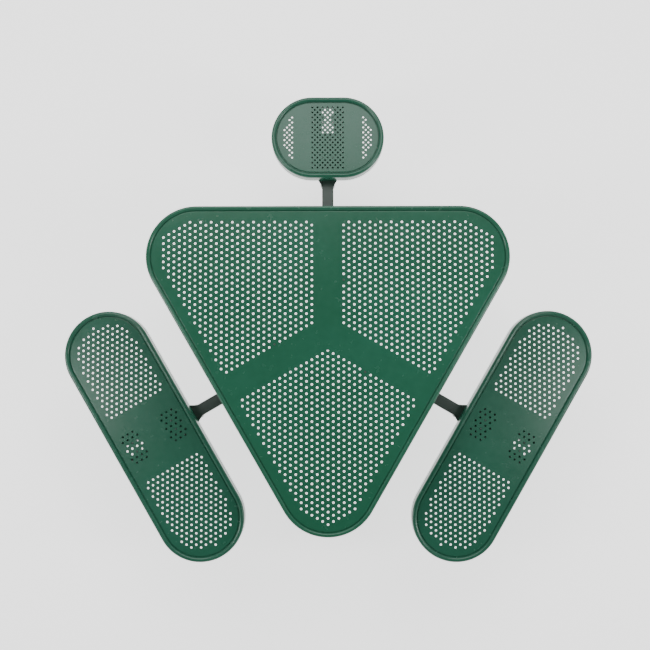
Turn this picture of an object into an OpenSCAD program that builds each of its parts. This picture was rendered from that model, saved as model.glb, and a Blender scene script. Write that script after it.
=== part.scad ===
// Picnic table for a park or plaza: one post set in the ground carries a
// three-sided perforated steel top and three fixed perforated seats on arms.
// Origin: on the post's axis at ground level. +Y points to the single seat, +Z is up.

/* [Top] */
// height of the top's highest point above the ground
top_z = 760; // [700:5:800]
// distance from the post's axis to the middle of each side of the top
top_apothem = 413; // [360:1:480]
// plan radius of the top's three corners
top_corner_r = 164.5; // [120:0.5:220]
// height of the top's outer skirt
top_skirt = 45; // [30:1:70]
// radius of the rolled edge round the top
top_bead_r = 7.5; // [5:0.5:12]

/* [Seats] */
// height of the seats' highest point above the ground
seat_z = 455; // [400:5:480]
// distance from the post's axis to the middle of the single seat
single_reach = 721; // [660:1:780]
// distance from the post's axis to the middle of each double seat
dual_reach = 720; // [660:1:800]
// plan radius of the single seat's ends
single_r = 148; // [120:1:180]
// half the straight part of the single seat
single_half = 57; // [20:1:120]
// plan radius of the double seats' ends
dual_r = 157; // [130:1:190]
// half the straight part of the double seats
dual_half = 335.5; // [250:0.5:420]
// height of the seats' outer skirt
seat_skirt = 58; // [40:1:80]
// radius of the rolled edge round the seats
seat_bead_r = 9; // [6:0.5:12]

/* [Perforation] */
// hole pitch of the top and the double seats
pitch = 20; // [16:0.5:26]
// hole diameter of the top and the double seats
hole_d = 7.8; // [6:0.1:10]
// row pitch of the single seat's staggered holes
fine_pitch = 18.5; // [15:0.25:22]
// hole diameter of the single seat
fine_hole_d = 6.8; // [4:0.1:8]
// first hole column of a double seat's end field, from the seat's middle
field_start = 133.3; // [120:0.1:150]

/* [Steel] */
// sheet thickness of panels and rims
sheet = 3; // [2:0.5:5]
// outside diameter of the post
post_d = 88.9; // [76:0.1:114.3]
// wall of the post
post_wall = 4.85; // [3:0.05:8]
// length of post below the ground
post_buried = 450; // [300:10:700]
// width of the seat arms
arm_w = 42; // [30:1:60]
// height of the seat arms
arm_h = 60; // [40:1:90]
// wall of the seat arms
arm_wall = 3; // [2:0.5:6]

/* [Hidden] */

green = [0.20, 0.40, 0.33];
light_green = [0.28, 0.45, 0.38];
dark_green = [0.17, 0.22, 0.20];
zinc = [0.62, 0.64, 0.66];

single_turn = 0;      // turn of each seat place about the post, from +Y
left_turn = 120;
right_turn = 240;
turns = [single_turn, left_turn, right_turn];

column = pitch * sqrt(3) / 2;                   // distance between hole columns
corner_reach = 2 * (top_apothem - top_corner_r); // middle of each corner arc
side_len = sqrt(3) * corner_reach;
corner_dirs = [-90, 30, 150];
top_lip = top_bead_r + 0.5;                     // the panel's seat, below the top's highest point
seat_lip = seat_bead_r + 0.5;
panel_gap = 1.5;                                // groove between rolled edge and panel
lip_w = 11;
top_flange = 15;                                // inward flange under each skirt
seat_flange = 25;
top_under = top_z - top_lip;                    // underside of the top's panel
seat_under = seat_z - seat_lip;
arm_z = seat_z - seat_skirt;                    // top face of arms and rails
fast_fn = 32;

// ---- fasteners ----------------------------------------------------------

// Hexagonal nut or head, its flat face on z = 0, with an optional hole.
module hex(flats, h, hole = 0) {
    difference() {
        cylinder(d = flats / cos(30), h = h, $fn = 6);
        if (hole > 0) translate([0, 0, -1]) cylinder(d = hole, h = h + 2, $fn = fast_fn);
    }
}

// Flat washer on z = 0.
module washer(d, h, hole) {
    difference() {
        cylinder(d = d, h = h, $fn = fast_fn);
        translate([0, 0, -1]) cylinder(d = hole, h = h + 2, $fn = fast_fn);
    }
}

// Hex bolt: head below z = 0, shank up.
module hex_bolt(d, len, flats, head) {
    translate([0, 0, -head]) hex(flats, head);
    cylinder(d = d, h = len, $fn = fast_fn);
}

// Puts children at each seat place, their own +Y pointing out from the post.
module each_place() {
    for (t = turns) rotate(t) children();
}

// ---- rolled rims --------------------------------------------------------

function arc(cx, cy, r, a0, a1, n) =
    [for (i = [0 : n]) let (a = a0 + (a1 - a0) * i / n) [cx + r * cos(a), cy + r * sin(a)]];

// Section of a rim: skirt, half-round bead, lip for the panel, flange at the foot.
// x = 0 is the outside face, y = 0 the highest point.
module rim_section(bead, skirt, lip, flange) {
    in = 2 * bead;
    polygon(concat(
        [[0, -skirt]],
        arc(-bead, -bead, bead, 0, 180, 12),
        [[-in, -lip], [-in - lip_w, -lip], [-in - lip_w, -lip - sheet], [-in + sheet, -lip - sheet]],
        arc(-bead, -bead, bead - sheet, 180, 0, 12),
        [[-sheet, -skirt + sheet], [-flange, -skirt + sheet], [-flange, -skirt]]
    ));
}

// Runs the 2D child straight along X, its own +x pointing to +Y.
module straight_run(len) {
    rotate([90, 0, 90]) linear_extrude(len, center = true) children();
}

// The top's rim is welded up from three straight lengths and three rolled corners.
module top_rim_sides() {
    color(green) each_place() translate([0, top_apothem, top_z]) straight_run(side_len)
        rim_section(top_bead_r, top_skirt, top_lip, top_flange);
}
module top_rim_corners() {
    color(green) for (a = corner_dirs) rotate(a) translate([corner_reach, 0, top_z]) rotate(-60)
        rotate_extrude(angle = 120, $fn = 96) translate([top_corner_r, 0])
            rim_section(top_bead_r, top_skirt, top_lip, top_flange);
}

module seat_rim(reach, r, half) {
    translate([0, reach, seat_z]) {
        for (s = [0, 180]) rotate(s) {
            translate([half, 0, 0]) rotate(-90) rotate_extrude(angle = 180, $fn = 96)
                translate([r, 0]) rim_section(seat_bead_r, seat_skirt, seat_lip, seat_flange);
            translate([0, r, 0]) straight_run(2 * half)
                rim_section(seat_bead_r, seat_skirt, seat_lip, seat_flange);
        }
    }
}

// ---- perforated panels --------------------------------------------------

// Hole places in one field of the top: a pointed field whose inner tip is
// three pitches from the axis and whose sides follow the top's sides.
function top_field() = [
    for (k = [-16 : 16]) for (s = [abs(k) / 2 : min(28 - abs(k) / 2, 33 - 1.5 * abs(k))])
        [k * column, -(3 + s) * pitch]
];

module top_outline(inset) {
    polygon([for (a = corner_dirs)
        each arc(corner_reach * cos(a), corner_reach * sin(a), top_corner_r - inset, a - 60, a + 60, 32)]);
}

module tabletop_panel() {
    color(green) translate([0, 0, top_under]) linear_extrude(sheet) difference() {
        top_outline(2 * top_bead_r + panel_gap);
        each_place() for (q = top_field()) translate(q) circle(d = hole_d, $fn = 16);
    }
}

module stadium(r, half) {
    square([2 * half, 2 * r], center = true);
    for (s = [-1, 1]) translate([s * half, 0]) circle(r, $fn = 96);
}

// A double seat's end field: columns across the seat, cut to the seat's rounded end.
field_reach = 5.52 * pitch;
function end_field() = [
    for (m = [0 : 18]) for (i = [-6 : 6])
        let (v = (m % 2 == 0 ? i : i + 0.5) * pitch, x = field_start + m * column)
        let (past = max(0, x - dual_half))
        if (past * past + v * v <= field_reach * field_reach) [x, v]
];

// The 24-hole patch round each pair of seat spacers.
function patch() = [
    for (m = [-3 : 3]) for (i = [-1.5 : 0.5 : 1.5])
        if ((abs(m) % 2 == 0) == (abs(i) % 1 == 0.5)) [m * column, i * pitch]
];
spacer_x = column;          // spacers stand at the patches' inner holes
spacer_y = 4 * pitch;
fine_px = fine_pitch;
fine_py = 4 * fine_pitch;

module dual_seat_holes() {
    for (s = [0, 180]) rotate(s) for (q = end_field()) translate(q) circle(d = hole_d, $fn = 16);
    for (s = [-1, 1]) translate([0, s * spacer_y]) for (q = patch()) translate(q)
        circle(d = hole_d, $fn = 16);
}

// The single seat's holes: a staggered middle field and two small side fields.
side_field_r = 106.3;
function single_field() = [
    for (h = [-17 : 17]) for (v = [-6 : 0.5 : 6])
        let (x = h * fine_pitch / 2, y = v * fine_pitch, past = abs(x) - single_half)
        if ((abs(h) % 2 == 0) == (abs(v) % 1 == 0)
            && (abs(h) <= 6 || (abs(h) >= 14 && past * past + y * y <= side_field_r * side_field_r)))
        [x, y]
];

module single_seat_holes() {
    for (q = single_field()) translate(q) circle(d = fine_hole_d, $fn = 16);
}

// A seat's panel; the children are its holes.
module seat_panel(reach, r, half) {
    edge = 2 * seat_bead_r + panel_gap;
    translate([0, reach, seat_under]) linear_extrude(sheet) difference() {
        stadium(r - edge, half);
        children();
    }
}

// ---- top frame ----------------------------------------------------------

spoke_w = 50;
spoke_h = 25;
spoke_wall = 4;
spoke_start = 30;
spoke_end = top_apothem - 2 * top_bead_r - lip_w - 6;
spoke_low = top_under - spoke_h;
stud_places = [200, 280, 360];
stud_d = 8;
block_places = [100, 140];
block_len = 80;

// Channel with its web up, under one solid band of the top's panel.
module spoke() {
    translate([0, 0, spoke_low]) difference() {
        translate([-spoke_w / 2, spoke_start, 0])
            cube([spoke_w, spoke_end - spoke_start, spoke_h]);
        translate([-spoke_w / 2 + spoke_wall, spoke_start - 1, -1])
            cube([spoke_w - 2 * spoke_wall, spoke_end - spoke_start + 2, spoke_h - spoke_wall + 1]);
        rotate(60) cube([2 * spoke_start, 2 * spoke_w, 3 * spoke_h], center = true);
        rotate(-60) cube([2 * spoke_start, 2 * spoke_w, 3 * spoke_h], center = true);
        for (y = stud_places) translate([0, y, 0]) cylinder(d = stud_d + 1, h = 2 * spoke_h, $fn = fast_fn);
    }
}

// Tapped blocks inside the channels, over the head plate.
module spoke_blocks() {
    color(dark_green) each_place() translate([0, 0, spoke_low]) difference() {
        translate([-spoke_w / 2 + spoke_wall, block_places[0] - 20, 0])
            cube([spoke_w - 2 * spoke_wall, block_len, spoke_h - spoke_wall]);
        for (y = block_places) translate([0, y, -1])
            cylinder(d = 10.2, h = spoke_h, $fn = fast_fn);
    }
}

// Side lugs on the spokes, each with a spigot in one hole of the panel.
lug_w = 24;
lug_t = 5;
lug_x = 3 * column;
lug_y = 8.5 * pitch;
module panel_lugs() {
    color(dark_green) each_place() translate([0, lug_y, top_under]) {
        translate([0, 0, -lug_t]) linear_extrude(lug_t) {
            translate([spoke_w / 2, -lug_w / 2]) square([lug_x - spoke_w / 2, lug_w]);
            translate([lug_x, 0]) circle(d = lug_w, $fn = 48);
        }
        translate([lug_x, 0, -1]) cylinder(d = hole_d - 0.3, h = sheet + 0.6, $fn = fast_fn);
    }
}

module panel_studs() {
    color(zinc) each_place() for (y = stud_places) translate([0, y, top_under - 16])
        cylinder(d = stud_d, h = 16, $fn = fast_fn);
}
module panel_stud_washers() {
    color(zinc) each_place() for (y = stud_places)
        translate([0, y, top_under - spoke_wall - 1.6]) washer(16, 1.6, stud_d + 0.4);
}
module panel_stud_nuts() {
    color(zinc) each_place() for (y = stud_places)
        translate([0, y, top_under - spoke_wall - 1.6 - 6.5]) hex(13, 6.5, stud_d + 0.2);
}

// ---- post and its head --------------------------------------------------

head_t = 10;
head_low = spoke_low - head_t;
head_reach = 170;
head_w = 56;

module head_plate() {
    color(dark_green) translate([0, 0, head_low]) linear_extrude(head_t) difference() {
        union() {
            circle(d = post_d + 8, $fn = 96);
            each_place() translate([-head_w / 2, 0]) square([head_w, head_reach]);
        }
        each_place() for (y = block_places) translate([0, y]) circle(d = 11, $fn = fast_fn);
    }
}

gusset = [38, 60];
module head_gussets() {
    color(dark_green) each_place() translate([3, post_d / 2 - 0.2, head_low]) rotate([90, 0, 0])
        rotate([0, -90, 0]) linear_extrude(6)
            polygon([[0, 0], [-gusset[0] + 6, 0], [-gusset[0], -6], [-6, -gusset[1]], [0, -gusset[1]]]);
}

module head_bolts() {
    color(zinc) each_place() for (y = block_places)
        translate([0, y, head_low - 2]) hex_bolt(10, 30, 17, 6.4);
}
module head_washers() {
    color(zinc) each_place() for (y = block_places)
        translate([0, y, head_low - 2]) washer(20, 2, 10.5);
}

mark_h = 3;                // rolled groove round the post that marks the ground line
mark_deep = 1;

module post() {
    color(dark_green) translate([0, 0, -post_buried]) difference() {
        cylinder(d = post_d, h = head_low + post_buried, $fn = 96);
        translate([0, 0, -1]) cylinder(d = post_d - 2 * post_wall, h = head_low + post_buried + 2, $fn = 96);
        translate([0, 0, post_buried]) difference() {
            cylinder(d = post_d + 2, h = mark_h, $fn = 96);
            translate([0, 0, -1]) cylinder(d = post_d - 2 * mark_deep, h = mark_h + 2, $fn = 96);
        }
    }
}
module post_foot_cap() {
    color(dark_green) translate([0, 0, -post_buried])
        cylinder(d = post_d - 2 * post_wall - 0.4, h = 6, $fn = 96);
}

// ---- collar, sockets and arms -------------------------------------------

arm_low = arm_z - arm_h;
arm_mid = arm_z - arm_h / 2;
collar_h = 96;
collar_r = post_d / 2 + 6.35;
screw_turn = 45;          // set screws, counted from the arm beside each
socket_wall = 5;
socket_gap = 0.5;
socket_w = arm_w + 2 * (socket_gap + socket_wall);
socket_h = arm_h + 2 * (socket_gap + socket_wall);
socket_end = 190;
socket_bolt_places = [100, 160];
arm_start = post_d / 2 + 8;
arm_past = 27;            // length of arm beyond a seat's middle

// Rectangle with rounded corners, centred.
module round_rect(w, h, r) {
    square([w, h - 2 * r], center = true);
    square([w - 2 * r, h], center = true);
    for (x = [-1, 1]) for (y = [-1, 1]) translate([x * (w / 2 - r), y * (h / 2 - r)])
        circle(r, $fn = 24);
}

module box_tube(w, h, wall, r_out, r_in) {
    difference() {
        round_rect(w, h, r_out);
        round_rect(w - 2 * wall, h - 2 * wall, r_in);
    }
}

// Stands a section upright and runs it along +Y from y0 to y1 at the arms' height.
module radial_run(y0, y1) {
    translate([0, y1, arm_mid]) rotate([90, 0, 0]) linear_extrude(y1 - y0) children();
}

module collar() {
    color(dark_green) translate([0, 0, arm_mid - collar_h / 2]) difference() {
        cylinder(r = collar_r, h = collar_h, $fn = 96);
        translate([0, 0, -1]) cylinder(d = post_d + 0.4, h = collar_h + 2, $fn = 96);
        for (a = turns) rotate(a + screw_turn) translate([0, 0, collar_h / 2]) rotate([-90, 0, 0])
            cylinder(d = 10.2, h = 2 * collar_r, $fn = fast_fn);
    }
}

// Set screws between the arms: they bear on the post.
module collar_screws() {
    color(zinc) for (a = turns) rotate(a + screw_turn) translate([0, 0, arm_mid]) rotate([-90, 0, 0]) {
        translate([0, 0, post_d / 2 + 0.05]) cylinder(d = 10, h = 14, $fn = fast_fn);
        translate([0, 0, post_d / 2 + 12]) hex(16, 7);
    }
}

module bolt_holes(w) {
    for (y = socket_bolt_places) translate([0, y, arm_mid]) rotate([0, 90, 0])
        cylinder(d = 11, h = w, center = true, $fn = fast_fn);
}

module socket() {
    difference() {
        radial_run(post_d / 2, socket_end)
            box_tube(socket_w, socket_h, socket_wall, 6, 2);
        cylinder(r = collar_r, h = 2 * arm_z, $fn = 96);
        bolt_holes(2 * socket_w);
    }
}

module arm(reach) {
    difference() {
        radial_run(arm_start, reach + arm_past) box_tube(arm_w, arm_h, arm_wall, 4, 1.5);
        bolt_holes(2 * arm_w);
    }
}

module arm_cap(reach) {
    radial_run(reach + arm_past, reach + arm_past + 3) round_rect(arm_w, arm_h, 4);
}
module arm_caps() {
    color(dark_green) {
        rotate(single_turn) arm_cap(single_reach);
        rotate(left_turn) arm_cap(dual_reach);
        rotate(right_turn) arm_cap(dual_reach);
    }
}

grip = socket_w / 2 + 1.6;
module socket_bolts() {
    color(zinc) each_place() for (y = socket_bolt_places) translate([-grip, y, arm_mid])
        rotate([0, 90, 0]) hex_bolt(10, 2 * grip + 12, 16, 6.4);
}
module socket_washers() {
    color(zinc) each_place() for (y = socket_bolt_places) for (x = [-grip, grip - 1.6])
        translate([x, y, arm_mid]) rotate([0, 90, 0]) washer(20, 1.6, 10.5);
}
module socket_nuts() {
    color(zinc) each_place() for (y = socket_bolt_places) translate([grip, y, arm_mid])
        rotate([0, 90, 0]) hex(16, 8, 10.2);
}

// ---- seat carriers ------------------------------------------------------

rail_w = 40;
rail_leg = 50;
rail_t = 5;
rail_nose = 22;            // how far a rail reaches past the seat's edge
mitre = tan(30);
seat_bolt_x = 34;
seat_bolt_in = 14;         // seat bolts' distance in from the seat's edge

// Plan of a rail of the given width, on the +X side of the arm.
module rail_plan(w, r) {
    nose = -r - rail_nose;
    polygon([[arm_w / 2, nose], [arm_w / 2 + w, nose + w / mitre],
        [arm_w / 2 + w, r - 8], [arm_w / 2, r - 8]]);
}

// Angle under a seat: flange up and outward, leg down along the arm's side.
module rail(reach, r) {
    translate([0, reach, arm_z]) difference() {
        union() {
            translate([0, 0, -rail_t]) linear_extrude(rail_t) rail_plan(rail_w, r);
            translate([0, 0, -rail_leg]) linear_extrude(rail_leg - rail_t / 2) rail_plan(rail_t, r);
        }
        for (s = [-1, 1]) translate([seat_bolt_x, s * (r - seat_bolt_in), -rail_leg])
            cylinder(d = 9, h = 2 * rail_leg, $fn = fast_fn);
    }
}

// Square bars between rails and panel; each has a spigot in a panel hole.
module spacers(reach, px, py) {
    tall = seat_under - arm_z;
    for (x = [-1, 1]) for (y = [-1, 1]) translate([x * px, reach + y * py, arm_z]) {
        translate([x > 0 ? -6 : -16, -8, 0]) cube([22, 16, tall]);
        translate([0, 0, tall - 1]) cylinder(d = 6.5, h = sheet + 0.6, $fn = fast_fn);
    }
}

module seat_bolt_set(reach, r) {
    for (x = [-1, 1]) for (y = [-1, 1])
        translate([x * seat_bolt_x, reach + y * (r - seat_bolt_in), arm_z]) children();
}
module seat_bolts(reach, r) {
    seat_bolt_set(reach, r) translate([0, 0, -rail_t]) hex_bolt(8, 20, 13, 5.3);
}
module seat_nuts(reach, r) {
    seat_bolt_set(reach, r) translate([0, 0, sheet]) hex(13, 6.5, 8.2);
}

// ---- the nodes ----------------------------------------------------------

module spoke_single() { color(dark_green) rotate(single_turn) spoke(); }
module spoke_left() { color(dark_green) rotate(left_turn) spoke(); }
module spoke_right() { color(dark_green) rotate(right_turn) spoke(); }
module socket_single() { color(dark_green) rotate(single_turn) socket(); }
module socket_left() { color(dark_green) rotate(left_turn) socket(); }
module socket_right() { color(dark_green) rotate(right_turn) socket(); }
module arm_single() { color(dark_green) rotate(single_turn) arm(single_reach); }
module arm_left() { color(dark_green) rotate(left_turn) arm(dual_reach); }
module arm_right() { color(dark_green) rotate(right_turn) arm(dual_reach); }

module single_seat_panel() {
    color(light_green) rotate(single_turn) seat_panel(single_reach, single_r, single_half) single_seat_holes();
}
module single_seat_rim() { color(light_green) rotate(single_turn) seat_rim(single_reach, single_r, single_half); }
module single_rail_a() { color(dark_green) rotate(single_turn) rail(single_reach, single_r); }
module single_rail_b() { color(dark_green) rotate(single_turn) mirror([1, 0, 0]) rail(single_reach, single_r); }
module single_spacers() { color(dark_green) rotate(single_turn) spacers(single_reach, fine_px, fine_py); }
module single_bolts() { color(zinc) rotate(single_turn) seat_bolts(single_reach, single_r); }
module single_nuts() { color(zinc) rotate(single_turn) seat_nuts(single_reach, single_r); }

module left_seat_panel() {
    color(green) rotate(left_turn) seat_panel(dual_reach, dual_r, dual_half) dual_seat_holes();
}
module left_seat_rim() { color(green) rotate(left_turn) seat_rim(dual_reach, dual_r, dual_half); }
module left_rail_a() { color(dark_green) rotate(left_turn) rail(dual_reach, dual_r); }
module left_rail_b() { color(dark_green) rotate(left_turn) mirror([1, 0, 0]) rail(dual_reach, dual_r); }
module left_spacers() { color(dark_green) rotate(left_turn) spacers(dual_reach, spacer_x, spacer_y); }
module left_bolts() { color(zinc) rotate(left_turn) seat_bolts(dual_reach, dual_r); }
module left_nuts() { color(zinc) rotate(left_turn) seat_nuts(dual_reach, dual_r); }

module right_seat_panel() {
    color(green) rotate(right_turn) seat_panel(dual_reach, dual_r, dual_half) dual_seat_holes();
}
module right_seat_rim() { color(green) rotate(right_turn) seat_rim(dual_reach, dual_r, dual_half); }
module right_rail_a() { color(dark_green) rotate(right_turn) rail(dual_reach, dual_r); }
module right_rail_b() { color(dark_green) rotate(right_turn) mirror([1, 0, 0]) rail(dual_reach, dual_r); }
module right_spacers() { color(dark_green) rotate(right_turn) spacers(dual_reach, spacer_x, spacer_y); }
module right_bolts() { color(zinc) rotate(right_turn) seat_bolts(dual_reach, dual_r); }
module right_nuts() { color(zinc) rotate(right_turn) seat_nuts(dual_reach, dual_r); }

tabletop_panel();
top_rim_sides();
top_rim_corners();
spoke_single();
spoke_left();
spoke_right();
spoke_blocks();
panel_lugs();
panel_studs();
panel_stud_washers();
panel_stud_nuts();
head_plate();
head_gussets();
head_bolts();
head_washers();
post();
post_foot_cap();
collar();
collar_screws();
socket_single();
socket_left();
socket_right();
socket_bolts();
socket_washers();
socket_nuts();
arm_single();
arm_left();
arm_right();
arm_caps();
single_seat_panel();
single_seat_rim();
single_rail_a();
single_rail_b();
single_spacers();
single_bolts();
single_nuts();
left_seat_panel();
left_seat_rim();
left_rail_a();
left_rail_b();
left_spacers();
left_bolts();
left_nuts();
right_seat_panel();
right_seat_rim();
right_rail_a();
right_rail_b();
right_spacers();
right_bolts();
right_nuts();
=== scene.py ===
"""Perforated steel picnic table on one post, with a single seat and two double seats.

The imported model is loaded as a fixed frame. Sheet panels, rolled rims, tubes and welds
are rebuilt at full detail inside its box, and every surface gets its own finish.
"""
import logging
import math
from dataclasses import dataclass
from enum import Enum
from typing import Any, Sequence

import bmesh
import bpy
from mathutils import Matrix, Vector
from mathutils.geometry import delaunay_2d_cdt


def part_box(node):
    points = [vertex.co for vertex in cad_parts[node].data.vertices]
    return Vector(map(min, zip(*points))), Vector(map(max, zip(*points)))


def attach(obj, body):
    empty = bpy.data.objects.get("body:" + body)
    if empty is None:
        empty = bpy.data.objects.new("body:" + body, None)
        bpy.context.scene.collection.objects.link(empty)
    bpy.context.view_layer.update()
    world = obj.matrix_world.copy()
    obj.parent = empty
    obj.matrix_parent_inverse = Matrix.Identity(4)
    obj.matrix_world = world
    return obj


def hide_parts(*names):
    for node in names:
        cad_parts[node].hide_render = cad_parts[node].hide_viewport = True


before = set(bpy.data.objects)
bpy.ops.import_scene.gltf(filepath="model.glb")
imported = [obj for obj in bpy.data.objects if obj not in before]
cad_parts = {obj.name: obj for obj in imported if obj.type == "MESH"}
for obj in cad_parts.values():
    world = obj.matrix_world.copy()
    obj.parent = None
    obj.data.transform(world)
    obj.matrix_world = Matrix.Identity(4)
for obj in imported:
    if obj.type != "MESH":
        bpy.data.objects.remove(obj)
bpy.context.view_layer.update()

log = logging.getLogger("picnic_table")

Point2 = tuple[float, float]
Loop = list[Point2]
Triple = tuple[float, float, float]

MM = 0.001
BODY = "root"
TURNS: dict[str, float] = {"single": 0.0, "left": 120.0, "right": 240.0}


class Slot(Enum):
    """The record's material slots."""

    TOP = "top_coat"
    SEAT = "seat_coat"
    FRAME = "frame_coat"
    FASTENER = "fasteners"


# ---- finishes ------------------------------------------------------------


def hex_to_linear(code: str) -> tuple[float, float, float, float]:
    """Turns an sRGB hex colour into linear red, green, blue and alpha.

    Args:
        code: six hex digits, with or without a leading hash.

    Returns:
        The linear colour, with alpha 1.
    """
    digits = code.lstrip("#")
    parts = [int(digits[i : i + 2], 16) / 255.0 for i in (0, 2, 4)]
    linear = [c / 12.92 if c <= 0.04045 else ((c + 0.055) / 1.055) ** 2.4 for c in parts]
    return (linear[0], linear[1], linear[2], 1.0)


def add_node(
    tree: bpy.types.NodeTree,
    kind: str,
    settings: dict[str, Any] | None = None,
    inputs: dict[Any, Any] | None = None,
) -> bpy.types.Node:
    """Adds a shader node with its settings and links.

    Args:
        tree: the material's node tree.
        kind: the node's type name.
        settings: properties of the node.
        inputs: input name or index to a constant, or to the socket that feeds it.

    Returns:
        The new node.
    """
    node = tree.nodes.new(kind)
    for key, value in (settings or {}).items():
        setattr(node, key, value)
    for key, value in (inputs or {}).items():
        if isinstance(value, bpy.types.NodeSocket):
            tree.links.new(value, node.inputs[key])
        else:
            node.inputs[key].default_value = value
    return node


def ramp(
    tree: bpy.types.NodeTree, factor: bpy.types.NodeSocket, low: float, high: float
) -> bpy.types.NodeSocket:
    """Spreads a factor so that low maps to 0 and high to 1.

    Args:
        tree: the material's node tree.
        factor: the socket to spread.
        low: the input value that becomes 0.
        high: the input value that becomes 1.

    Returns:
        The spread factor's socket.
    """
    spread = add_node(
        tree,
        "ShaderNodeMapRange",
        {"interpolation_type": "SMOOTHSTEP"},
        {"Value": factor, "From Min": low, "From Max": high},
    )
    return spread.outputs["Result"]


def blend_colour(
    tree: bpy.types.NodeTree, factor: Any, first: Any, second: Any
) -> bpy.types.NodeSocket:
    """Mixes two colours.

    Args:
        tree: the material's node tree.
        factor: share of the second colour, a number or a socket.
        first: colour or socket.
        second: colour or socket.

    Returns:
        The mixed colour's socket.
    """
    mix = add_node(tree, "ShaderNodeMix", {"data_type": "RGBA"}, {0: factor, 6: first, 7: second})
    return mix.outputs[2]


@dataclass(frozen=True)
class PowderCoat:
    """Powder-coated steel: sprayed dry, baked, with a fine orange peel and a soft gloss.

    Attributes:
        name: the material's name.
        tone: the coat's colour.
        chalked: the slightly faded, chalky colour of the weathered coat.
        grime: colour of the dirt that stays in low places and near the ground.
        roughness: mean roughness of the coat.
        peel_mm: distance between the waves of the orange peel.
    """

    name: str
    tone: str
    # grime: colour of the dirt in the faint rain-run streaks.
    chalked: str
    grime: str
    roughness: float = 0.25
    peel_mm: float = 2.6

    def material(self) -> bpy.types.Material:
        """Builds the material.

        Returns:
            The powder-coat material.
        """
        mat = bpy.data.materials.new(self.name)
        mat.use_nodes = True
        tree = mat.node_tree
        tree.nodes.clear()
        where = add_node(tree, "ShaderNodeTexCoord").outputs["Object"]
        # Weathering drifts over about 300 mm, and the mottle of the sprayed film over 25 mm.
        drift = add_node(tree, "ShaderNodeTexNoise", None, {"Vector": where, "Scale": 3.3, "Detail": 4.0})
        mottle = add_node(tree, "ShaderNodeTexNoise", None, {"Vector": where, "Scale": 40.0, "Detail": 5.0})
        # Dust nibs and pinholes about 1 mm across, 8 mm apart.
        nibs = add_node(
            tree, "ShaderNodeTexVoronoi", None, {"Vector": where, "Scale": 125.0, "Randomness": 1.0}
        )
        # Rain runs leave faint streaks down the skirts and the post.
        squash = add_node(
            tree, "ShaderNodeMapping", None, {"Vector": where, "Scale": (60.0, 60.0, 5.0)}
        )
        streaks = add_node(
            tree, "ShaderNodeTexNoise", None, {"Vector": squash.outputs[0], "Scale": 1.0, "Detail": 3.0}
        )
        colour = blend_colour(
            tree, ramp(tree, drift.outputs["Fac"], 0.35, 0.75), hex_to_linear(self.tone),
            hex_to_linear(self.chalked),
        )
        mottled = add_node(
            tree, "ShaderNodeHueSaturation", None,
            {"Color": colour, "Value": self._spread(tree, mottle.outputs["Fac"], 0.97, 1.03)},
        ).outputs[0]
        dirty = blend_colour(
            tree, self._spread(tree, streaks.outputs["Fac"], -0.05, 0.08), mottled,
            hex_to_linear(self.grime),
        )
        specked = blend_colour(
            tree, ramp(tree, nibs.outputs["Distance"], 0.09, 0.04), dirty,
            hex_to_linear(self.chalked),
        )
        rough = self._spread(tree, mottle.outputs["Fac"], self.roughness - 0.02, self.roughness + 0.03)
        # Orange peel: a wave every few millimetres and a few hundredths high.
        peel = add_node(
            tree, "ShaderNodeTexNoise", None,
            {"Vector": where, "Scale": 1.0 / (self.peel_mm * MM), "Detail": 1.0, "Roughness": 0.4},
        )
        peel_bump = add_node(
            tree, "ShaderNodeBump", None,
            {"Height": peel.outputs["Fac"], "Strength": 0.08, "Distance": 0.05 * MM},
        )
        nib_bump = add_node(
            tree, "ShaderNodeBump", {"invert": True},
            {
                "Height": ramp(tree, nibs.outputs["Distance"], 0.0, 0.13),
                "Strength": 0.06,
                "Distance": 0.10 * MM,
                "Normal": peel_bump.outputs[0],
            },
        )
        shader = add_node(
            tree, "ShaderNodeBsdfPrincipled", None,
            {
                "Base Color": specked,
                "Roughness": rough,
                "IOR": 1.5,
                "Normal": nib_bump.outputs[0],
            },
        )
        add_node(tree, "ShaderNodeOutputMaterial", None, {"Surface": shader.outputs[0]})
        return mat

    @staticmethod
    def _spread(
        tree: bpy.types.NodeTree, factor: bpy.types.NodeSocket, low: float, high: float
    ) -> bpy.types.NodeSocket:
        """Maps the middle of a noise to a range.

        Args:
            tree: the material's node tree.
            factor: a noise socket.
            low: result where the noise is 0.3.
            high: result where the noise is 0.7.

        Returns:
            The mapped socket.
        """
        spread = add_node(
            tree, "ShaderNodeMapRange", None,
            {"Value": factor, "From Min": 0.3, "From Max": 0.7, "To Min": low, "To Max": high},
        )
        return spread.outputs["Result"]


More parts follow.
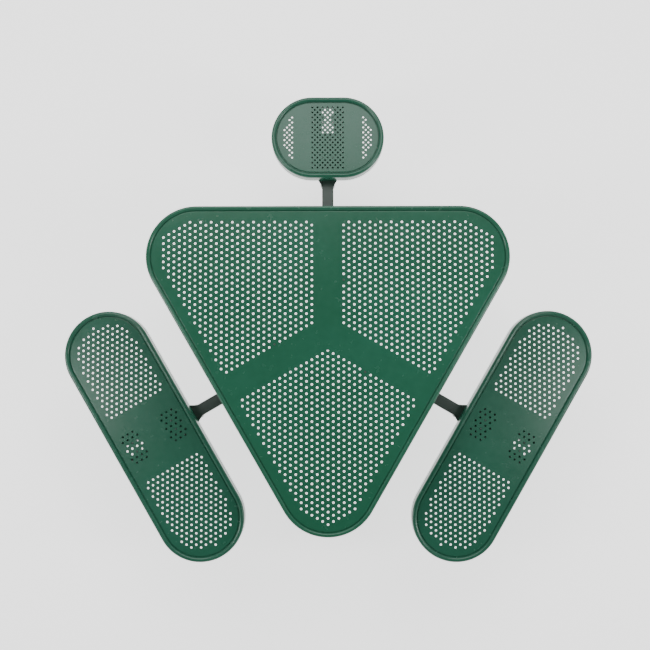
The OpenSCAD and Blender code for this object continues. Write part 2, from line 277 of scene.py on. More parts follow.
@dataclass(frozen=True)
class ZincPlate:
    """Bright zinc-plated steel fasteners, cold-formed and tumbled, slightly dulled outdoors.

    Attributes:
        name: the material's name.
        bright: colour of the clean plate.
        dull: colour where it has weathered.
        roughness: mean roughness.
    """

    name: str
    bright: str = "#C4C8CA"
    dull: str = "#8E9290"
    roughness: float = 0.34

    def material(self) -> bpy.types.Material:
        """Builds the material.

        Returns:
            The zinc-plate material.
        """
        mat = bpy.data.materials.new(self.name)
        mat.use_nodes = True
        tree = mat.node_tree
        tree.nodes.clear()
        where = add_node(tree, "ShaderNodeTexCoord").outputs["Object"]
        # Blotches of about 4 mm, as the passivated film ages.
        blotch = add_node(tree, "ShaderNodeTexNoise", None, {"Vector": where, "Scale": 250.0, "Detail": 4.0})
        # Tumbling marks under 1 mm.
        marks = add_node(tree, "ShaderNodeTexNoise", None, {"Vector": where, "Scale": 1400.0, "Detail": 2.0})
        colour = blend_colour(
            tree, ramp(tree, blotch.outputs["Fac"], 0.40, 0.65), hex_to_linear(self.bright),
            hex_to_linear(self.dull),
        )
        rough = add_node(
            tree, "ShaderNodeMapRange", None,
            {
                "Value": blotch.outputs["Fac"],
                "From Min": 0.3,
                "From Max": 0.7,
                "To Min": self.roughness - 0.08,
                "To Max": self.roughness + 0.14,
            },
        )
        bump = add_node(
            tree, "ShaderNodeBump", None,
            {"Height": marks.outputs["Fac"], "Strength": 0.15, "Distance": 0.03 * MM},
        )
        shader = add_node(
            tree, "ShaderNodeBsdfPrincipled", None,
            {
                "Base Color": colour,
                "Metallic": 1.0,
                "Roughness": rough.outputs["Result"],
                "Normal": bump.outputs[0],
            },
        )
        add_node(tree, "ShaderNodeOutputMaterial", None, {"Surface": shader.outputs[0]})
        return mat


class Finishes:
    """The finishes of the whole table, one material for each slot."""

    def __init__(self) -> None:
        """Builds every material once."""
        self.by_slot: dict[Slot, bpy.types.Material] = {
            Slot.TOP: PowderCoat(
                "powder_coated_steel_top", "#17523B", "#1D5943", "#164432"
            ).material(),
            # Painted sheen: the seat's tone, chalk and grime are a touch greyer than the top's, standing in
            # for the stronger reflection the seats catch on the same coat.
            Slot.SEAT: PowderCoat(
                "powder_coated_steel_seat_painted_sheen", "#1A513D", "#215844", "#184535"
            ).material(),
            Slot.FRAME: PowderCoat(
                "powder_coated_steel_frame", "#26362F", "#2F4038", "#1F2B26", roughness=0.40
            ).material(),
            Slot.FASTENER: ZincPlate("zinc_plated_steel").material(),
        }

    def dress(self, piece: bpy.types.Object, slot: Slot) -> None:
        """Gives a piece its finish.

        Args:
            piece: the object.
            slot: the slot whose finish it takes.
        """
        piece.data.materials.clear()
        piece.data.materials.append(self.by_slot[slot])


# ---- mesh helpers --------------------------------------------------------


def link_mesh(name: str, mesh: bpy.types.Mesh, sharp_degrees: float = 32.0) -> bpy.types.Object:
    """Links a mesh as an object, smooth but for its sharp edges.

    Args:
        name: the object's name.
        mesh: the mesh.
        sharp_degrees: edges bent more than this stay sharp.

    Returns:
        The object.
    """
    mesh.shade_smooth()
    mesh.set_sharp_from_angle(angle=math.radians(sharp_degrees))
    piece = bpy.data.objects.new(name, mesh)
    bpy.context.scene.collection.objects.link(piece)
    return piece


def mesh_from(
    name: str, verts: Sequence[Sequence[float]], faces: Sequence[Sequence[int]]
) -> bpy.types.Mesh:
    """Makes a mesh with its faces turned outward.

    Args:
        name: the mesh's name.
        verts: points in metres.
        faces: rings of vertex indices.

    Returns:
        The mesh.
    """
    mesh = bpy.data.meshes.new(name)
    mesh.from_pydata([tuple(v) for v in verts], [], [tuple(f) for f in faces])
    work = bmesh.new()
    work.from_mesh(mesh)
    bmesh.ops.recalc_face_normals(work, faces=work.faces)
    work.to_mesh(mesh)
    work.free()
    mesh.validate()
    return mesh


def place(turn: float) -> Matrix:
    """The matrix that turns a seat place about the post.

    Args:
        turn: degrees from +Y.

    Returns:
        The rotation matrix.
    """
    return Matrix.Rotation(math.radians(turn), 4, "Z")


# ---- outlines ------------------------------------------------------------


@dataclass(frozen=True)
class Outline:
    """A convex plan outline made of equal-radius corner arcs.

    Attributes:
        corners: arc centre and the direction in degrees at the arc's middle.
        radius: arc radius in metres.
        sweep: degrees that each arc turns.
        steps: segments in each arc.
    """

    corners: tuple[tuple[float, float, float], ...]
    radius: float
    sweep: float
    steps: int = 40

    def samples(self) -> list[tuple[float, float, float, float]]:
        """Walks the outline.

        Returns:
            Points with their outward directions, counter-clockwise.
        """
        walk: list[tuple[float, float, float, float]] = []
        for cx, cy, middle in self.corners:
            for i in range(self.steps + 1):
                a = math.radians(middle - self.sweep / 2 + self.sweep * i / self.steps)
                nx, ny = math.cos(a), math.sin(a)
                walk.append((cx + self.radius * nx, cy + self.radius * ny, nx, ny))
        return walk

    def ring(self, inset: float) -> Loop:
        """Gives the outline moved inward.

        Args:
            inset: metres inward.

        Returns:
            The ring's points.
        """
        return [(x - nx * inset, y - ny * inset) for x, y, nx, ny in self.samples()]


def stitches(ring: Loop, height: float, length: float, spacing: float) -> list[list[Vector]]:
    """Cuts a closed ring into short weld runs.

    Args:
        ring: plan points of the ring, in metres.
        height: height of the welds.
        length: length of each run.
        spacing: distance from one run's start to the next.

    Returns:
        A path for each run.
    """
    points = [Vector((x, y, height)) for x, y in ring]
    points.append(points[0])
    travelled = [0.0]
    for a, b in zip(points, points[1:]):
        travelled.append(travelled[-1] + (b - a).length)

    def at(distance: float) -> Vector:
        """Finds a point on the ring.

        Args:
            distance: how far along the ring from its first point.

        Returns:
            The point.
        """
        k = 0
        while k < len(travelled) - 2 and travelled[k + 1] < distance:
            k += 1
        share = (distance - travelled[k]) / max(travelled[k + 1] - travelled[k], 1e-9)
        return points[k].lerp(points[k + 1], share)

    runs = int(travelled[-1] // spacing)
    step = travelled[-1] / runs
    parts = 6
    return [[at(i * step + length * j / parts) for j in range(parts + 1)] for i in range(runs)]


# ---- perforated sheet ----------------------------------------------------


@dataclass
class PerforatedSheet:
    """A flat sheet with round punched holes and an eased edge.

    Attributes:
        outline: plan outline of the rim's outer face.
        inset: distance from that outline to the sheet's edge.
        top: height of the upper face.
        thickness: sheet thickness.
        holes: hole centres.
        hole_radius: radius of every hole.
        sides: segments round each hole.
        ease: how far the coat rounds each hole's rim.
        roll: width over which the sheet's edge turns down.
    """

    outline: Outline
    inset: float
    top: float
    thickness: float
    holes: Loop
    hole_radius: float
    sides: int = 16
    ease: float = 0.45 * MM
    roll: float = 2.6 * MM

    def _layers(self) -> list[tuple[float, float]]:
        """Rings from the flat down the sheet's outer edge.

        Returns:
            Each ring's inset and height.
        """
        steps = 6
        rings = [(self.roll + 1.0 * MM, self.top)]
        for i in range(steps + 1):
            a = math.radians(90.0 * i / steps)
            drop = 0.85 * self.thickness * (1 - math.cos(a))
            rings.append((self.roll * (1 - math.sin(a)), self.top - drop))
        rings.append((0.0, self.top - self.thickness))
        return rings

    def _hole_ring(self, centre: Point2, radius: float) -> Loop:
        """Points round one hole.

        Args:
            centre: the hole's centre.
            radius: the ring's radius.

        Returns:
            The ring's points in order.
        """
        return [
            (
                centre[0] + radius * math.cos(2 * math.pi * i / self.sides),
                centre[1] + radius * math.sin(2 * math.pi * i / self.sides),
            )
            for i in range(self.sides)
        ]

    def mesh(self, name: str, matrix: Matrix) -> bpy.types.Mesh:
        """Builds the sheet.

        Args:
            name: the mesh's name.
            matrix: moves it from its own place to the table's.

        Returns:
            The sheet's mesh.
        """
        layers = self._layers()
        edge_loops = [self.outline.ring(self.inset + ring_inset) for ring_inset, _ in layers]
        count = len(edge_loops[0])
        flat: list[Vector] = [Vector(p) for p in edge_loops[0]]
        owner = [-1] * count
        loops = [[i for i in range(count)]]
        wide = self.hole_radius + self.ease
        for index, centre in enumerate(self.holes):
            first = len(flat)
            flat += [Vector(p) for p in self._hole_ring(centre, wide)]
            owner += [index] * self.sides
            loops.append(list(range(first, first + self.sides)))
        edges = [(loop[i], loop[(i + 1) % len(loop)]) for loop in loops for i in range(len(loop))]
        points, _, triangles, origins, _, _ = delaunay_2d_cdt(flat, edges, [], 0, 1e-7)
        source = [o[0] for o in origins]
        kept = []
        for triangle in triangles:
            owners = {owner[source[i]] for i in triangle}
            if len(owners) == 1 and -1 not in owners:
                continue
            kept.append([source[i] for i in triangle])

        verts: list[tuple[float, float, float]] = [(p.x, p.y, self.top) for p in flat]
        faces: list[list[int]] = [list(t) for t in kept]
        previous = list(range(count))
        for loop, (_, height) in zip(edge_loops[1:], layers[1:]):
            first = len(verts)
            verts += [(x, y, height) for x, y in loop]
            ring = list(range(first, first + count))
            faces += [
                [previous[i], previous[(i + 1) % count], ring[(i + 1) % count], ring[i]]
                for i in range(count)
            ]
            previous = ring
        below: dict[int, int] = {i: previous[i] for i in range(count)}
        low = self.top - self.thickness
        for index, centre in enumerate(self.holes):
            above = loops[index + 1]
            for height in (self.top - self.ease, low):
                first = len(verts)
                verts += [(x, y, height) for x, y in self._hole_ring(centre, self.hole_radius)]
                ring = list(range(first, first + self.sides))
                faces += [
                    [above[i], above[(i + 1) % self.sides], ring[(i + 1) % self.sides], ring[i]]
                    for i in range(self.sides)
                ]
                above = ring
            for i, vertex in enumerate(loops[index + 1]):
                below[vertex] = above[i]
        faces += [[below[i] for i in reversed(t)] for t in kept]
        mesh = mesh_from(name, verts, faces)
        mesh.transform(matrix)
        return mesh


# ---- rolled rims ---------------------------------------------------------


@dataclass
class RolledRim:
    """A rim rolled from strip: skirt, half-round bead, lip for the sheet, flange at the foot.

    Attributes:
        outline: plan outline of the outer face.
        top: height of the bead.
        bead: radius of the bead.
        skirt: height of the skirt.
        lip: depth of the lip below the bead's top.
        lip_width: how far the lip reaches in.
        flange: how far the foot's flange reaches in.
        sheet: strip thickness.
    """

    outline: Outline
    top: float
    bead: float
    skirt: float
    lip: float
    flange: float
    lip_width: float = 11 * MM
    sheet: float = 3 * MM

    def _bend(self, cx: float, cz: float, radius: float, start: float, end: float, steps: int) -> Loop:
        """Points of an arc in the section.

        Args:
            cx: the arc's centre, outward.
            cz: the arc's centre, upward.
            radius: its radius.
            start: its first angle in degrees.
            end: its last angle in degrees.
            steps: how many parts it is cut into.

        Returns:
            The arc's points in order.
        """
        out = []
        for i in range(steps + 1):
            a = math.radians(start + (end - start) * i / steps)
            out.append((cx + radius * math.cos(a), cz + radius * math.sin(a)))
        return out

    def section(self) -> Loop:
        """The rim's section: x outward from the outer face, z up from the bead's top.

        Returns:
            The section's points in order.
        """
        b, t = self.bead, self.sheet
        foot = t * 0.8
        inner = 2 * b
        return (
            self._bend(-foot, -self.skirt + foot, foot, -90, 0, 4)
            + self._bend(-b, -b, b, 0, 180, 26)
            + [(-inner, -self.lip + 0.4 * MM)]
            + self._bend(-inner - self.lip_width + t / 3, -self.lip - t / 3, t / 3, 90, 180, 3)
            + self._bend(-inner - self.lip_width + t / 3, -self.lip - t * 2 / 3, t / 3, 180, 270, 3)
            + [(-inner + t, -self.lip - t)]
            + self._bend(-b, -b, b - t, 180, 0, 14)
            + [(-t, -self.skirt + t)]
            + self._bend(-self.flange + t / 2, -self.skirt + t / 2, t / 2, 90, 270, 5)
        )

    def mesh(self, name: str, matrix: Matrix) -> bpy.types.Mesh:
        """Sweeps the section round the outline.

        Args:
            name: the mesh's name.
            matrix: moves it from its own place to the table's.

        Returns:
            The rim's mesh.
        """
        profile = self.section()
        stations = self.outline.samples()
        verts = [
            (x + nx * out, y + ny * out, self.top + up)
            for x, y, nx, ny in stations
            for out, up in profile
        ]
        wide, long = len(profile), len(stations)
        faces = [
            [
                k * wide + i,
                k * wide + (i + 1) % wide,
                ((k + 1) % long) * wide + (i + 1) % wide,
                ((k + 1) % long) * wide + i,
            ]
            for k in range(long)
            for i in range(wide)
        ]
        mesh = mesh_from(name, verts, faces)
        mesh.transform(matrix)
        return mesh


# ---- welds ---------------------------------------------------------------


@dataclass
class WeldBead:
    """A fillet weld laid along a path, with the ripples of the pool.

    Attributes:
        path: points along the joint, in metres.
        leg: the bead's radius.
        ripple: distance between ripples, drawn a little coarser than life so that it shows.
        closed: whether the path is a loop.
    """

    path: list[Vector]
    leg: float = 2.6 * MM
    ripple: float = 5.0 * MM
    closed: bool = False
    sides: int = 8

    def _stations(self) -> list[Vector]:
        """Cuts the path at every third of a ripple.

        Returns:
            The points along the path.
        """
        step = self.ripple / 3
        points = list(self.path) + ([self.path[0]] if self.closed else [])
        out = [points[0].copy()]
        for a, b in zip(points, points[1:]):
            parts = max(1, round((b - a).length / step))
            out += [a.lerp(b, i / parts) for i in range(1, parts + 1)]
        return out[:-1] if self.closed else out

    def add_to(self, verts: list[Sequence[float]], faces: list[list[int]]) -> None:
        """Adds this bead to a growing mesh.

        Args:
            verts: the mesh's points.
            faces: the mesh's faces.
        """
        line = self._stations()
        rings: list[list[int]] = []
        for k, point in enumerate(line):
            ahead = line[(k + 1) % len(line)] if self.closed or k + 1 < len(line) else point
            behind = line[k - 1] if self.closed or k > 0 else point
            along = (ahead - behind).normalized()
            side = along.cross(Vector((0.13, 0.21, 0.97))).normalized()
            up = side.cross(along)
            swell = self.leg * (0.93 + 0.13 * math.cos(2 * math.pi * k / 3) + 0.05 * math.sin(k * 0.61))
            if not self.closed and k in (0, len(line) - 1):
                swell *= 0.5
            first = len(verts)
            for i in range(self.sides):
                a = 2 * math.pi * i / self.sides
                verts.append(point + side * (swell * math.cos(a)) + up * (swell * math.sin(a)))
            rings.append(list(range(first, first + self.sides)))
        pairs = list(zip(rings, rings[1:])) + ([(rings[-1], rings[0])] if self.closed else [])
        for near, far in pairs:
            for i in range(self.sides):
                j = (i + 1) % self.sides
                faces.append([near[i], near[j], far[j], far[i]])
        if not self.closed:
            faces.append(list(reversed(rings[0])))
            faces.append(list(rings[-1]))


# ---- the workshop: makes and dresses pieces -------------------------------


class Workshop:
    """Turns meshes into dressed pieces that ride on the frame."""

    def __init__(self, finishes: Finishes) -> None:
        """Keeps the finishes.

        Args:
            finishes: the table's finishes.
        """
        self.finishes = finishes
        self.shown: set[str] = set()

    def fit(
        self, name: str, mesh: bpy.types.Mesh, slot: Slot, stands_for: Sequence[str] = (), sharp: float = 32.0
    ) -> bpy.types.Object:
        """Args:
            name: the piece's name.
            mesh: its mesh.
            slot: the finish it takes.
            stands_for: frame nodes it replaces.
            sharp: edges bent more than this many degrees stay sharp.

        Returns:
            The piece.
        """
        piece = link_mesh(name, mesh, sharp)
        self.finishes.dress(piece, slot)
        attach(piece, BODY)
        if stands_for:
            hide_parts(*stands_for)
            self.shown.update(stands_for)
        log.info("%s: %d faces", name, len(mesh.polygons))
        return piece

    def soften(self, node: str, slot: Slot, width: float = 0.8 * MM) -> bpy.types.Object:
        """Copies a frame node with its sharp edges eased, as sawn and deburred steel is.

        Args:
            node: the frame node.
            slot: the finish it takes.
            width: width of the eased edge.

        Returns:
            The piece.
        """
        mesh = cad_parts[node].data.copy()
        mesh.name = f"{node}_eased"
        work = bmesh.new()
        work.from_mesh(mesh)
        bmesh.ops.remove_doubles(work, verts=work.verts, dist=1e-6)
        bmesh.ops.dissolve_limit(
            work, angle_limit=math.radians(1.0), verts=work.verts, edges=work.edges
        )
        corners = [
            e for e in work.edges
            if len(e.link_faces) == 2 and e.calc_face_angle(0.0) > math.radians(40.0)
        ]
        bmesh.ops.bevel(
            work, geom=corners, offset=width, segments=2, profile=0.5, affect="EDGES",
            clamp_overlap=True,
        )
        bmesh.ops.recalc_face_normals(work, faces=work.faces)
        work.to_mesh(mesh)
        work.free()
        if mesh.attributes.get("custom_normal"):
            mesh.attributes.remove(mesh.attributes["custom_normal"])
        return self.fit(f"{node}_piece", mesh, slot, (node,), 40.0)

    def weld(self, name: str, beads: Sequence[WeldBead], slot: Slot = Slot.FRAME) -> bpy.types.Object:
        """Makes one piece of several weld beads.

        Args:
            name: the piece's name.
            beads: the beads.
            slot: the finish over them.

        Returns:
            The piece.
        """
        verts: list[Sequence[float]] = []
        faces: list[list[int]] = []
        for bead in beads:
            bead.add_to(verts, faces)
        return self.fit(name, mesh_from(name, verts, faces), slot, sharp=80.0)


# ---- the top -------------------------------------------------------------


@dataclass
class TableTop:
    """The three-sided perforated top and its rim.

    Attributes:
        apothem: from the post's axis to the middle of each side.
        corner_radius: plan radius of the corners.
        bead: radius of the rolled edge.
        skirt: height of the skirt.
        pitch: hole pitch.
        hole_radius: hole radius.
        sheet: sheet thickness.
        groove: gap between rolled edge and sheet.
    """

    apothem: float = 413 * MM
    corner_radius: float = 164.5 * MM
    bead: float = 7.5 * MM
    skirt: float = 45 * MM
    pitch: float = 20 * MM
    hole_radius: float = 3.9 * MM
    sheet: float = 3 * MM
    groove: float = 1.5 * MM

    def outline(self) -> Outline:
        """Draws the top's plan outline.

        Returns:
            The outline, about the post.
        """
        reach = 2 * (self.apothem - self.corner_radius)
        corners = tuple(
            (reach * math.cos(math.radians(a)), reach * math.sin(math.radians(a)), float(a))
            for a in (-90, 30, 150)
        )
        return Outline(corners, self.corner_radius, 120.0, steps=48)

    def holes(self) -> Loop:
        """Hole centres of the three pointed fields.

        Returns:
            The centres.
        """
        column = self.pitch * math.sqrt(3) / 2
        out: Loop = []
        for turn in TURNS.values():
            c, s = math.cos(math.radians(turn)), math.sin(math.radians(turn))
            for k in range(-16, 17):
                step = abs(k) / 2
                while step <= min(28 - abs(k) / 2, 33 - 1.5 * abs(k)) + 1e-6:
                    x, y = k * column, -(3 + step) * self.pitch
                    out.append((x * c - y * s, x * s + y * c))
                    step += 1
        return out

    def build(self, shop: Workshop) -> None:
        """Makes the sheet and the rim.

        Args:
            shop: the workshop.
        """
        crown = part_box("top_rim_sides")[1].z
        sheet_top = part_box("tabletop_panel")[1].z
        outline = self.outline()
        sheet = PerforatedSheet(
            outline, 2 * self.bead + self.groove, sheet_top, self.sheet, self.holes(), self.hole_radius
        )
        identity = Matrix.Identity(4)
        shop.fit("tabletop_sheet", sheet.mesh("tabletop_sheet", identity), Slot.TOP, ("tabletop_panel",))
        rim = RolledRim(
            outline, crown, self.bead, self.skirt, self.bead + 0.5 * MM, 15 * MM, sheet=self.sheet
        )
        shop.fit(
            "tabletop_rolled_rim", rim.mesh("tabletop_rolled_rim", identity), Slot.TOP,
            ("top_rim_sides", "top_rim_corners"),
        )
        inside = outline.ring(2 * self.bead + rim.lip_width)
        runs = stitches(inside, sheet_top - self.sheet - 0.6 * MM, 28 * MM, 130 * MM)
        shop.weld("tabletop_lip_welds", [WeldBead(run, 2.2 * MM) for run in runs], Slot.TOP)


# ---- seats ---------------------------------------------------------------


@dataclass
class Seat:
    """A perforated seat on two rails.

    Attributes:
        name: single, left or right.
        radius: plan radius of the ends.
        half: half the straight part.
        holes: the hole centres.
        hole_radius: hole radius.
        sides: segments round each hole.
        bead: radius of the rolled edge.
        skirt: height of the skirt.
        sheet: sheet thickness.
        groove: gap between rolled edge and sheet.
        arm_half: half the width of the arm between the rails.
    """

    name: str
    radius: float
    half: float
    holes: Loop
    hole_radius: float
    sides: int = 16
    bead: float = 9 * MM
    skirt: float = 58 * MM
    sheet: float = 3 * MM
    groove: float = 1.5 * MM
    arm_half: float = 21 * MM

    def outline(self) -> Outline:
        """Draws the seat's plan outline.

        Returns:
            The outline, about the seat's own middle.
        """
        return Outline(
            ((self.half, 0.0, 0.0), (-self.half, 0.0, 180.0)), self.radius, 180.0, steps=64
        )

    def matrix(self) -> Matrix:
        """Moves the seat from its own middle to its place on the frame.

        Returns:
            The seat's matrix.
        """
        low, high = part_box(f"{self.name}_seat_rim")
        middle = (low + high) / 2
        reach = math.hypot(middle.x, middle.y)
        return place(TURNS[self.name]) @ Matrix.Translation((0.0, reach, 0.0))

    def build(self, shop: Workshop) -> None:
        """Makes the sheet, the rim and the pieces under them.

        Args:
            shop: the workshop.
        """
        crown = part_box(f"{self.name}_seat_rim")[1].z
        sheet_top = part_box(f"{self.name}_seat_panel")[1].z
        outline = self.outline()
        sheet = PerforatedSheet(
            outline, 2 * self.bead + self.groove, sheet_top, self.sheet, self.holes, self.hole_radius,
            self.sides,
        )
        name = f"{self.name}_seat_sheet"
        shop.fit(name, sheet.mesh(name, self.matrix()), Slot.SEAT, (f"{self.name}_seat_panel",))
        rim = RolledRim(
            outline, crown, self.bead, self.skirt, self.bead + 0.5 * MM, 25 * MM, sheet=self.sheet
        )
        name = f"{self.name}_seat_rolled_rim"
        shop.fit(name, rim.mesh(name, self.matrix()), Slot.SEAT, (f"{self.name}_seat_rim",))
        for part in ("rail_a", "rail_b", "spacers"):
            shop.soften(f"{self.name}_{part}", Slot.FRAME)
        for part in ("bolts", "nuts"):
            shop.soften(f"{self.name}_{part}", Slot.FASTENER, 0.5 * MM)
        self._welds(shop, outline, sheet_top - self.sheet)

    def _welds(self, shop: Workshop, outline: Outline, underside: float) -> None:
        """Lays the stitch welds under the sheet and along the rails.

        Args:
            shop: the workshop.
            outline: the seat's plan outline.
            underside: height of the sheet's lower face.
        """
        matrix = self.matrix()
        inside = outline.ring(2 * self.bead + 11 * MM)
        lip = stitches(inside, underside - 0.6 * MM, 24 * MM, 110 * MM)
        name = f"{self.name}_seat_lip_welds"
        shop.weld(name, [WeldBead([matrix @ p for p in run], 2.0 * MM) for run in lip], Slot.SEAT)
        rail_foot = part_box(f"{self.name}_rail_a")[0].z
        beads = []
        pitch, run = 68 * MM, 40 * MM
        for side in (-1, 1):
            x = side * (self.arm_half + 0.8 * MM)
            for k in range(int(2 * self.radius // pitch)):
                start = -self.radius + (k + 0.25) * pitch
                ends = [Vector((x, start, rail_foot)), Vector((x, start + run, rail_foot))]
                beads.append(WeldBead([matrix @ p for p in ends]))
        shop.weld(f"{self.name}_rail_welds", beads)


def double_seat_holes(pitch: float, start: float, half: float) -> Loop:
    """Hole centres of a double seat: two end fields and two 24-hole patches.

    Args:
        pitch: hole pitch.
        start: first column of an end field, from the seat's middle.
        half: half the seat's straight part.

    Returns:
        The centres.
    """
    column = pitch * math.sqrt(3) / 2
    reach = 5.52 * pitch
    out: Loop = []
    for m in range(19):
        x = start + m * column
        for i in range(-6, 7):
            y = (i if m % 2 == 0 else i + 0.5) * pitch
            if math.hypot(max(0.0, x - half), y) <= reach:
                out += [(x, y), (-x, -y)]
    for m in range(-3, 4):
        rows = (-1.5, -0.5, 0.5, 1.5) if m % 2 == 0 else (-1.0, 0.0, 1.0)
        for side in (-1, 1):
            out += [(m * column, (row + 4 * side) * pitch) for row in rows]
    return out


def single_seat_holes(pitch: float, half: float) -> Loop:
    """Hole centres of the single seat: a staggered middle field and two side fields.

    Args:
        pitch: row pitch.
        half: half the seat's straight part.

    Returns:
        The centres.
    """
    side_reach = 106.3 * MM
    out: Loop = []
    for h in range(-17, 18):
        for twice in range(-12, 13):
            if (h % 2 == 0) != (twice % 2 == 0):
                continue
            x, y = h * pitch / 2, twice * pitch / 2
            if abs(h) <= 6 or (abs(h) >= 14 and math.hypot(abs(x) - half, y) <= side_reach):
                out.append((x, y))
    return out


# ---- post, arms and top frame --------------------------------------------


@dataclass
class Underframe:
    """The post, the arms and the frame under the top.

    Attributes:
        post_radius: outer radius of the post.
        post_wall: wall of the post.
        collar_radius: outer radius of the collar.
        mark_height: height of the groove that marks the ground line.
        mark_deep: depth of that groove.
    """

    post_radius: float = 44.45 * MM
    post_wall: float = 4.85 * MM
    collar_radius: float = 50.8 * MM
    mark_height: float = 3 * MM
    mark_deep: float = 1 * MM

    def _tube(
        self,
        name: str,
        outer: float,
        inner: float,
        low: float,
        high: float,
        outside: Sequence[Point2] = (),
    ) -> bpy.types.Mesh:
        """A round tube with eased ends.

        Args:
            name: the mesh's name.
            outer: outer radius.
            inner: inner radius.
            low: height of the lower end.
            high: height of the upper end.
            outside: further radius and height points up the outside.

        Returns:
            The tube's mesh.
        """
        ease = 0.8 * MM
        section = [(inner, low + ease), (inner + ease, low), (outer - ease, low), (outer, low + ease)]
        section += list(outside)
        section += [(outer, high - ease), (outer - ease, high), (inner + ease, high), (inner, high - ease)]
        steps = 128
        verts = []
        for k in range(steps):
            a = 2 * math.pi * k / steps
            verts += [(r * math.cos(a), r * math.sin(a), z) for r, z in section]
        n = len(section)
        faces = [
            [k * n + i, k * n + (i + 1) % n, ((k + 1) % steps) * n + (i + 1) % n, ((k + 1) % steps) * n + i]
            for k in range(steps)
            for i in range(n)
        ]
        return mesh_from(name, verts, faces)

    def build(self, shop: Workshop) -> None:
        """Makes the post, collar, sockets, arms and top frame.

        Args:
            shop: the workshop.
        """
        low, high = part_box("post")
        mark = [
            (self.post_radius, 0.0), (self.post_radius - self.mark_deep, 0.4 * MM),
            (self.post_radius - self.mark_deep, self.mark_height - 0.4 * MM),
            (self.post_radius, self.mark_height),
        ]
        bore = self.post_radius - self.post_wall
        tube = self._tube("post_tube", self.post_radius, bore, low.z, high.z, mark)
        shop.fit("post_tube", tube, Slot.FRAME, ("post",), 30.0)
        low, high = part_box("collar")
        ring = self._tube("collar_ring", self.collar_radius, self.post_radius + 0.2 * MM, low.z, high.z)
        shop.fit("collar_ring", ring, Slot.FRAME, ("collar",), 30.0)
        for node in (
            "post_foot_cap", "head_plate", "head_gussets", "spoke_blocks", "panel_lugs",
            "spoke_single", "spoke_left", "spoke_right", "socket_single", "socket_left",
            "socket_right", "arm_single", "arm_left", "arm_right", "arm_caps",
        ):
            shop.soften(node, Slot.FRAME)
        for node in (
            "panel_studs", "panel_stud_washers", "panel_stud_nuts", "head_bolts", "head_washers",
            "collar_screws", "socket_bolts", "socket_washers", "socket_nuts",
        ):
            shop.soften(node, Slot.FASTENER, 0.5 * MM)
        self._socket_welds(shop)
        self._head_welds(shop)

    def _socket_welds(self, shop: Workshop) -> None:
        """Welds each socket to the collar, all round its end.

        Args:
            shop: the workshop that adds the piece.
        """
        low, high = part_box("socket_single")
        half = high.x
        side_y = math.sqrt(self.collar_radius**2 - half**2)
        steps = 16
        beads = []
        for turn in TURNS.values():
            path: list[Vector] = []
            for i in range(steps + 1):
                x = half * (2 * i / steps - 1)
                path.append(Vector((x, math.sqrt(self.collar_radius**2 - x * x), high.z)))
            path.append(Vector((half, side_y, low.z)))
            for i in range(1, steps + 1):
                x = half * (1 - 2 * i / steps)
                path.append(Vector((x, math.sqrt(self.collar_radius**2 - x * x), low.z)))
            beads.append(WeldBead([place(turn) @ p for p in path], 3.2 * MM, closed=True))
        shop.weld("collar_welds", beads)

    def _head_welds(self, shop: Workshop) -> None:
        """Welds the head plate and its gussets to the post.

        Args:
            shop: the workshop that adds the piece.
        """
        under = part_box("head_plate")[0].z
        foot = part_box("head_gussets")[0].z
        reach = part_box("head_gussets")[1].y
        half = 3 * MM
        beads = []
        steps = 48
        ring = [
            Vector((self.post_radius * math.cos(a), self.post_radius * math.sin(a), under))
            for a in (2 * math.pi * i / steps for i in range(steps))
        ]
        beads.append(WeldBead(ring, 3.2 * MM, closed=True))
        for turn in TURNS.values():
            for x in (-half, half):
                down = [Vector((x, self.post_radius, under)), Vector((x, self.post_radius, foot))]
                out = [Vector((x, self.post_radius, under)), Vector((x, reach, under))]
                beads += [WeldBead([place(turn) @ p for p in run]) for run in (down, out)]
        shop.weld("head_welds", beads)


# ---- the studio ----------------------------------------------------------


@dataclass(frozen=True)
class SoftBox:
    """A rectangular studio light.

    Attributes:
        name: the light's name.
        at: its place.
        size: its width and height.
        power: its power in watts.
    """

    name: str
    at: Triple
    size: tuple[float, float]
    power: float


SOFT_BOXES: tuple[SoftBox, ...] = (
    SoftBox("key_beyond", (-0.2, 2.5, 4.3), (4.4, 2.5), 130.0),
    SoftBox("fill_left", (-3.0, -0.6, 3.2), (0.6, 3.2), 62.0),
    SoftBox("fill_right", (3.0, -0.6, 3.2), (0.6, 3.2), 68.0),
)


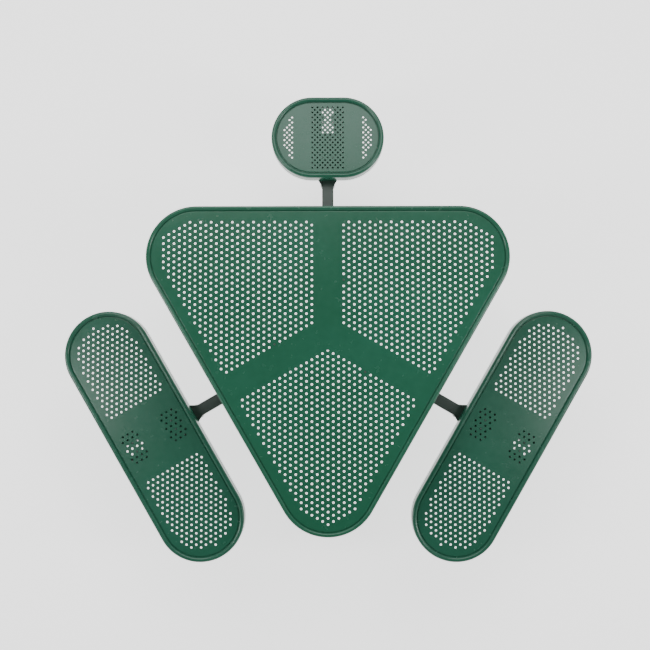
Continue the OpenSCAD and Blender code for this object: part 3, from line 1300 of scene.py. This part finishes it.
@dataclass
class Studio:
    """Floor, lights and camera.

    Attributes:
        floor_half: half the floor's width.
        floor_glow: the floor's own light.
        walls: the world's strength at the horizon.
        ceiling: the world's strength overhead.
        wall_foot: height in the world where the walls begin to darken.
        wall_head: height in the world where they are as dark as the ceiling.
        aim: where the lights point.
        stand: the camera's place.
        forward: the way the camera looks.
        right: the picture's rightward way.
        sensor_mm: width of the camera's sensor.
        lens_mm: focal length.
    """

    floor_half: float = 9.0
    floor_glow: float = 1.3
    walls: float = 1.0
    ceiling: float = 0.12
    wall_foot: float = 0.25
    wall_head: float = 0.90
    aim: Triple = (0.0, 0.0, 0.5)
    stand: Triple = (0.0042, -0.1128, 3.58)
    forward: Triple = (-0.0047, 0.0479, -0.9988)
    right: Triple = (1.0, -0.0013, -0.0047)
    sensor_mm: float = 36.0
    lens_mm: float = 48.2

    def floor(self) -> None:
        """Lays a plain pale floor at ground level."""
        s = self.floor_half
        mesh = mesh_from("floor", [(-s, -s, 0), (s, -s, 0), (s, s, 0), (-s, s, 0)], [[0, 1, 2, 3]])
        piece = bpy.data.objects.new("floor", mesh)
        bpy.context.scene.collection.objects.link(piece)
        mat = bpy.data.materials.new("pale_floor")
        mat.use_nodes = True
        shader = mat.node_tree.nodes["Principled BSDF"]
        shader.inputs["Base Color"].default_value = (0.95, 0.95, 0.95, 1.0)
        shader.inputs["Roughness"].default_value = 0.9
        shader.inputs["Specular IOR Level"].default_value = 0.1
        # A lit sweep: it gives a little light of its own, as a white studio table does.
        shader.inputs["Emission Color"].default_value = (1.0, 1.0, 1.0, 1.0)
        shader.inputs["Emission Strength"].default_value = self.floor_glow
        mesh.materials.append(mat)

    def area(self, box: SoftBox) -> None:
        """Adds a soft box aimed at the table.

        Args:
            box: the light's sizes, place and power.
        """
        light = bpy.data.lights.new(box.name, "AREA")
        light.shape = "RECTANGLE"
        light.size, light.size_y = box.size
        light.energy = box.power
        lamp = bpy.data.objects.new(box.name, light)
        lamp.location = box.at
        aim = Vector(self.aim) - Vector(box.at)
        lamp.rotation_euler = aim.to_track_quat("-Z", "Y").to_euler()
        bpy.context.scene.collection.objects.link(lamp)

    def lights(self) -> None:
        """Soft studio light, strongest from beyond the single seat."""
        world = bpy.data.worlds.new("studio_air")
        bpy.context.scene.world = world
        world.use_nodes = True
        tree = world.node_tree
        back = tree.nodes["Background"]
        back.inputs["Color"].default_value = (1.0, 1.0, 1.0, 1.0)
        # White walls and a darker ceiling: flat faces stay deep and rolled edges catch a line.
        ways = add_node(tree, "ShaderNodeTexCoord").outputs["Generated"]
        height = add_node(tree, "ShaderNodeSeparateXYZ", None, {"Vector": ways}).outputs["Z"]
        walls = add_node(
            tree, "ShaderNodeMapRange", {"interpolation_type": "SMOOTHSTEP"},
            {
                "Value": height,
                "From Min": self.wall_foot,
                "From Max": self.wall_head,
                "To Min": self.walls,
                "To Max": self.ceiling,
            },
        )
        tree.links.new(walls.outputs["Result"], back.inputs["Strength"])
        for box in SOFT_BOXES:
            self.area(box)

    def camera(self) -> None:
        """Looks almost straight down, from a little in front of the top's tip."""
        data = bpy.data.cameras.new("camera")
        data.sensor_width = self.sensor_mm
        data.lens = self.lens_mm
        camera = bpy.data.objects.new("camera", data)
        camera.location = self.stand
        forward = Vector(self.forward)
        right = Vector(self.right)
        up = right.cross(forward).normalized()
        right = forward.cross(up).normalized()
        camera.matrix_world = Matrix.Translation(camera.location) @ Matrix(
            (
                (right.x, up.x, -forward.x),
                (right.y, up.y, -forward.y),
                (right.z, up.z, -forward.z),
            )
        ).to_4x4()
        bpy.context.scene.collection.objects.link(camera)
        bpy.context.scene.camera = camera

    def build(self) -> None:
        """Sets the stage."""
        self.floor()
        self.lights()
        self.camera()


def main() -> None:
    """Builds the table in order and reports each piece."""
    logging.basicConfig(level=logging.INFO, format="%(name)s: %(message)s")
    shop = Workshop(Finishes())
    TableTop().build(shop)
    double_half, single_half = 335.5 * MM, 57 * MM
    pairs = double_seat_holes(20 * MM, 133.3 * MM, double_half)
    fine = single_seat_holes(18.5 * MM, single_half)
    Seat("single", 148 * MM, single_half, fine, 3.4 * MM, 14).build(shop)
    for name in ("left", "right"):
        Seat(name, 157 * MM, double_half, pairs, 3.9 * MM).build(shop)
    Underframe().build(shop)
    Studio().build()


if __name__ == "__main__":
    main()
